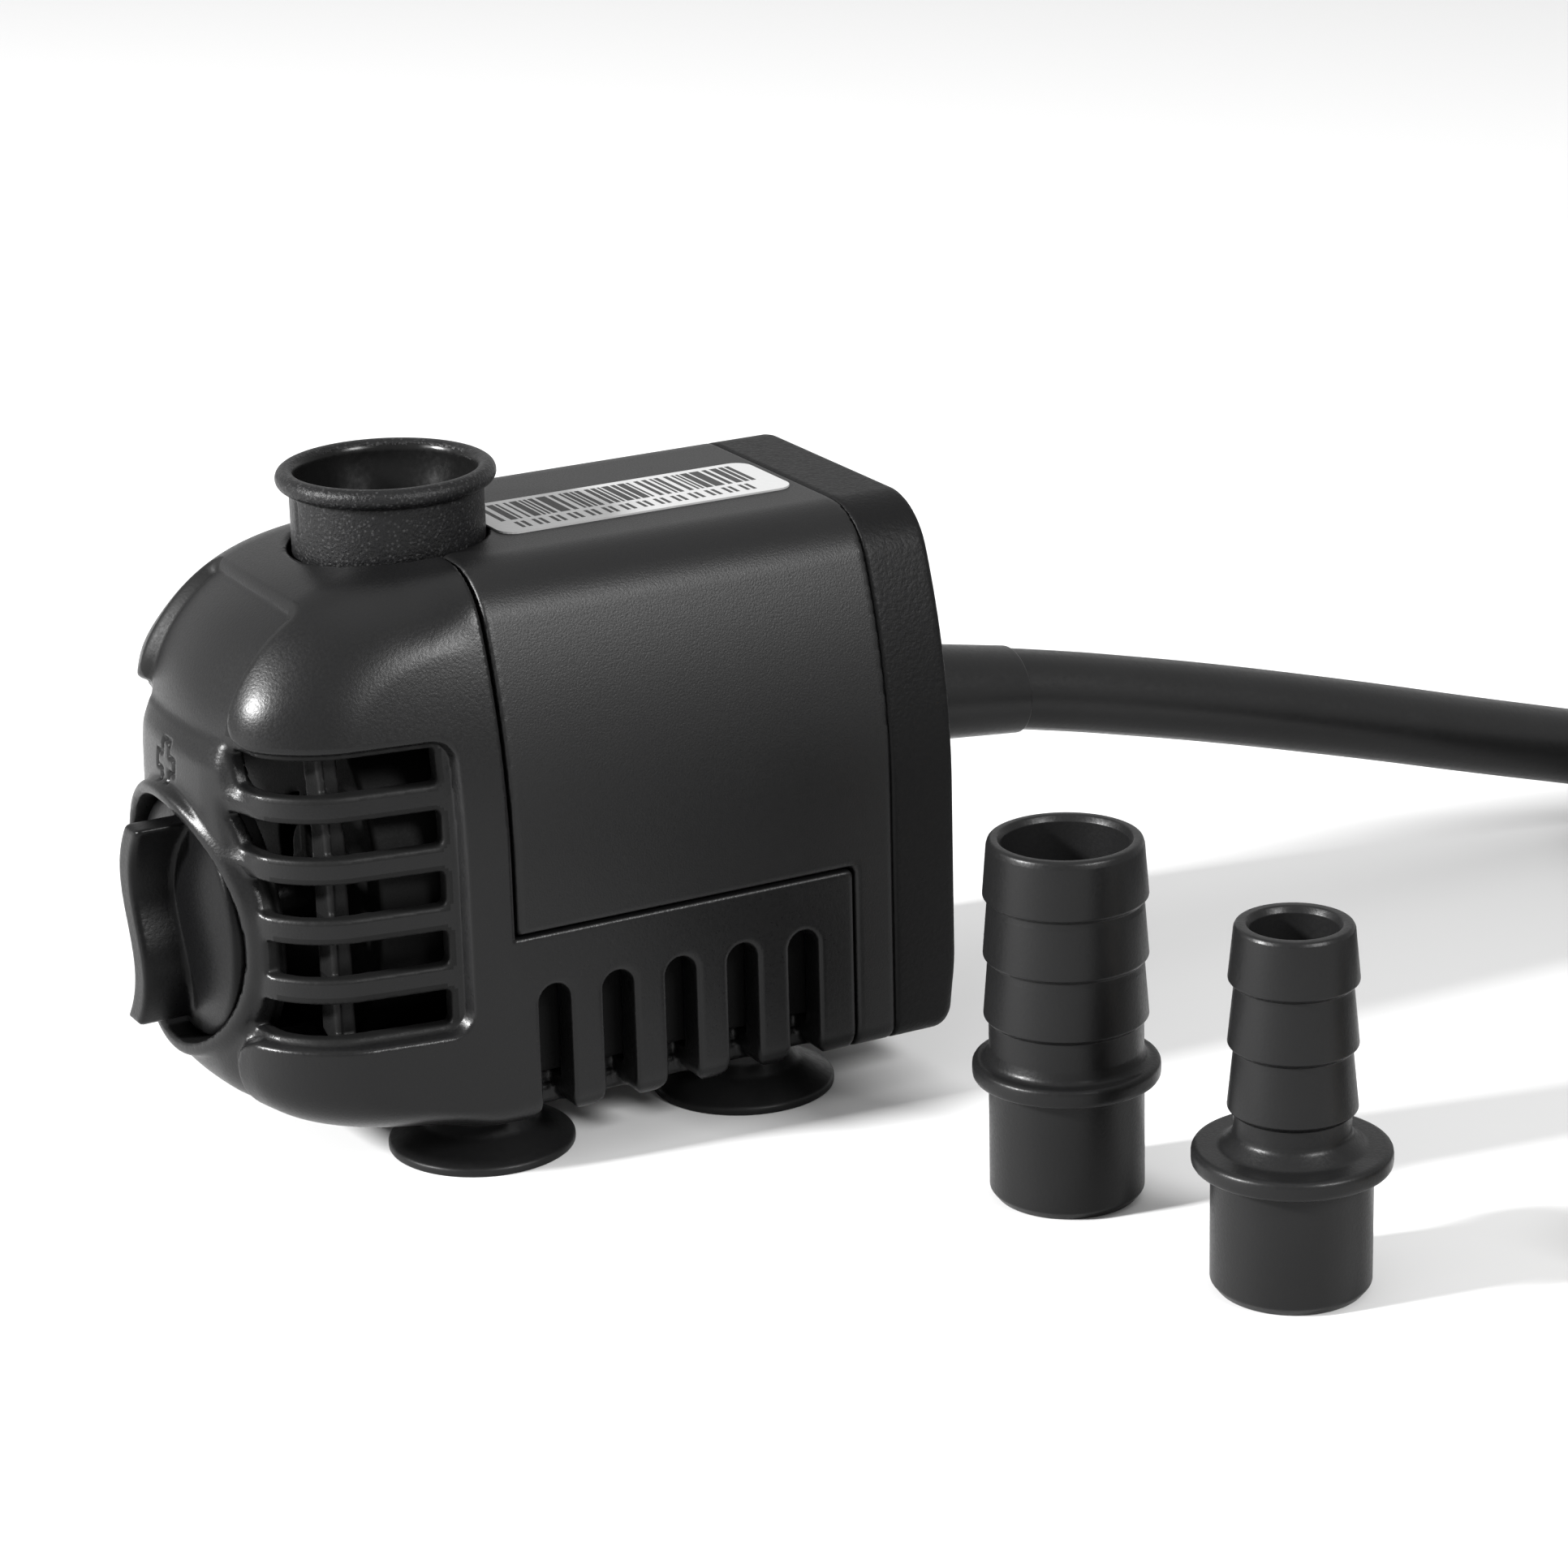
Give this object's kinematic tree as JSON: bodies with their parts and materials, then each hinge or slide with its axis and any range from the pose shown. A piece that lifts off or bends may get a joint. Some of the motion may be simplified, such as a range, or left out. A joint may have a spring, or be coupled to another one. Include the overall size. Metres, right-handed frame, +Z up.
{
  "type": "fountain submersible pump",
  "caption": "Small submersible fountain pump with louvred strainer nose, flow dial, top outlet, suction feet, mains lead and two loose barbed hose adaptors.",
  "frame": {"origin": "on the floor, under the middle of the pump's base, in its mid plane", "axes": "+Z up along the outlet, +Y towards the rear cover and the cord, -Y towards the strainer nose and the dial, +X towards the loose adaptors"},
  "size_m": [0.1559, 0.2908, 0.0682],
  "materials": {
    "cover_plastic": "satin moulded plastic",
    "housing_plastic": "fine matte texture",
    "rear_plastic": "coarse leather-like grain",
    "outlet_plastic": "coarse sparkling grain",
    "dial_plastic": "smooth satin",
    "adaptor_plastic": "smooth satin",
    "rotor_plastic": "natural moulded plastic",
    "bobbin_plastic": "natural moulded nylon",
    "foot_rubber": "soft matte rubber",
    "seal_rubber": "matte rubber",
    "cord_rubber": "satin extruded rubber",
    "plug_rubber": "satin moulded rubber",
    "ceramic": "polished ceramic",
    "ferrite": "ground ferrite",
    "core_steel": "stacked steel plates",
    "copper_wire": "enamelled copper wire",
    "lead_sleeve": "insulated wire",
    "resin": "cast potting resin",
    "label_film": "printed film",
    "tie_strap": "moulded strap",
    "plug_brass": "plated brass"
  },
  "bodies": {
    "pump": {"volute_housing": "outlet_plastic", "chamber_o_ring": "seal_rubber", "rotor_shaft": "ceramic", "front_bush": "seal_rubber", "rear_bush": "seal_rubber", "motor_housing": "housing_plastic", "stator_core": "core_steel", "coil_bobbin": "bobbin_plastic", "coil_winding": "copper_wire", "winding_leads": "lead_sleeve", "earth_lead": "lead_sleeve", "potting_resin": "resin", "rear_cover": "rear_plastic", "rating_label": "label_film", "cable_gland": "cord_rubber", "cord_tube": "cord_rubber", "cord_coil": "cord_rubber", "coil_tie": "tie_strap", "cord_tail": "cord_rubber", "plug_body": "plug_rubber", "plug_blades": "plug_brass", "plug_earth_pin": "plug_brass"},
    "rotor": {"impeller": "rotor_plastic", "rotor_hub": "rotor_plastic", "rotor_magnet": "ferrite", "thrust_washers": "ceramic"},
    "front_cover": {"front_cover": "cover_plastic", "foot_front_left": "foot_rubber", "foot_front_right": "foot_rubber", "foot_rear_left": "foot_rubber", "foot_rear_right": "foot_rubber"},
    "flow_dial": {"flow_dial": "dial_plastic", "flow_shutter": "dial_plastic"},
    "hose_adaptor_16": {"hose_adaptor_16": "adaptor_plastic"},
    "hose_adaptor_12": {"hose_adaptor_12": "adaptor_plastic"}
  },
  "joints": [
    {"name": "rotor_spin", "type": "hinge", "parent": "pump", "child": "rotor", "pos_m": [0, -0.002, 0.029], "axis": [0, -1, 0], "continuous": true},
    {"name": "cover_slide", "type": "slide", "parent": "pump", "child": "front_cover", "axis": [0, -1, 0], "range_m": [0, 0.055]},
    {"name": "dial_turn", "type": "hinge", "parent": "front_cover", "child": "flow_dial", "pos_m": [0, -0.044, 0.0252], "axis": [0, -1, 0], "range_deg": [0, 90]},
    {"name": "adaptor_16_lift", "type": "slide", "parent": "pump", "child": "hose_adaptor_16", "axis": [0, 0, 1], "range_m": [0, 0.06]},
    {"name": "adaptor_12_lift", "type": "slide", "parent": "pump", "child": "hose_adaptor_12", "axis": [0, 0, 1], "range_m": [0, 0.06]}
  ]
}
